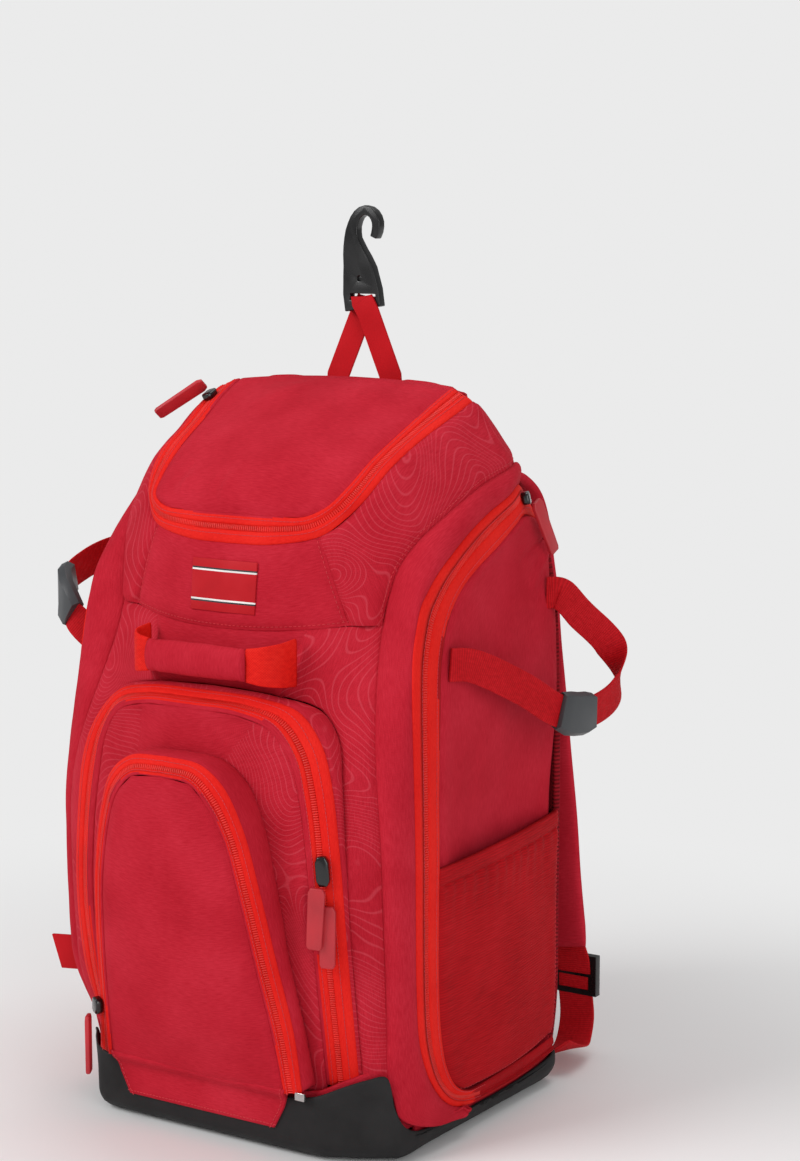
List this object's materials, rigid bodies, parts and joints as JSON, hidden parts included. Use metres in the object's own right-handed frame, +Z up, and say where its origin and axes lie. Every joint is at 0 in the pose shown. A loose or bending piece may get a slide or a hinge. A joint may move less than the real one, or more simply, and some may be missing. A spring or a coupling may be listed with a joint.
{
  "type": "bat backpack",
  "caption": "Tall zipped backpack on a moulded base, with open bat sleeves, front and side pockets, glove straps, padded shoulder straps and a fence hook.",
  "frame": {"origin": "middle of the flat underside of the base", "axes": "+Z up, -Y out of the front with the front pockets, +X to the right of someone who faces the front"},
  "size_m": [0.4332, 0.391, 0.6962],
  "materials": {
    "cloth_red": "matt woven cloth",
    "contour_cloth": "matt cloth with a pale tone-on-tone contour line pattern",
    "zipper_tape": "bright woven zipper tape with a moulded coil",
    "webbing": "ribbed woven webbing",
    "stretch_knit": "ribbed stretch knit",
    "air_mesh": "padded spacer mesh",
    "woven_label": "smooth woven label",
    "pull_rubber": "soft moulded rubber, satin",
    "base_rubber": "moulded, matt",
    "sleeve_lining": "dark lining cloth",
    "black_plastic": "moulded, semi-gloss",
    "grey_plastic": "moulded, satin",
    "slider_metal": "black enamel, glossy"
  },
  "bodies": {
    "root": {"lid": "cloth_red", "roof_panel": "cloth_red", "yoke": "cloth_red", "centre_panel": "cloth_red", "large_pocket_face": "cloth_red", "small_pocket_side": "cloth_red", "small_pocket_face": "cloth_red", "gusset_right": "cloth_red", "gusset_left": "cloth_red", "side_panel_right": "cloth_red", "side_panel_left": "cloth_red", "pocket_back_right": "cloth_red", "pocket_back_left": "cloth_red", "shoulder_strap_right": "cloth_red", "shoulder_strap_left": "cloth_red", "shoulder_panel_right": "contour_cloth", "shoulder_panel_left": "contour_cloth", "front_side_panel_right": "contour_cloth", "front_side_panel_left": "contour_cloth", "large_pocket_side": "contour_cloth", "top_zipper": "zipper_tape", "large_pocket_zipper": "zipper_tape", "small_pocket_zipper": "zipper_tape", "side_zipper_right": "zipper_tape", "side_zipper_left": "zipper_tape", "handle_grip": "webbing", "handle_end_right": "webbing", "handle_end_left": "webbing", "lower_webbing_right": "webbing", "lower_webbing_left": "webbing", "glove_strap_right": "webbing", "glove_strap_left": "webbing", "hook_webbing": "webbing", "loop_tag": "webbing", "front_tab": "webbing", "stretch_pocket_right": "stretch_knit", "stretch_pocket_left": "stretch_knit", "pocket_hem_right": "stretch_knit", "pocket_hem_left": "stretch_knit", "back_panel": "air_mesh", "label": "woven_label", "top_pull": "pull_rubber", "pocket_pull_front": "pull_rubber", "pocket_pull_rear": "pull_rubber", "small_pull": "pull_rubber", "side_pull_right": "pull_rubber", "side_pull_left": "pull_rubber", "base": "base_rubber", "bat_sleeve_right": "sleeve_lining", "bat_sleeve_left": "sleeve_lining", "hook": "black_plastic", "ladder_lock_right": "black_plastic", "ladder_lock_left": "black_plastic", "glove_buckle_right": "grey_plastic", "glove_buckle_left": "grey_plastic", "top_slider": "slider_metal", "pocket_sliders": "slider_metal", "small_slider": "slider_metal", "side_slider_right": "slider_metal", "side_slider_left": "slider_metal"}
  },
  "joints": []
}
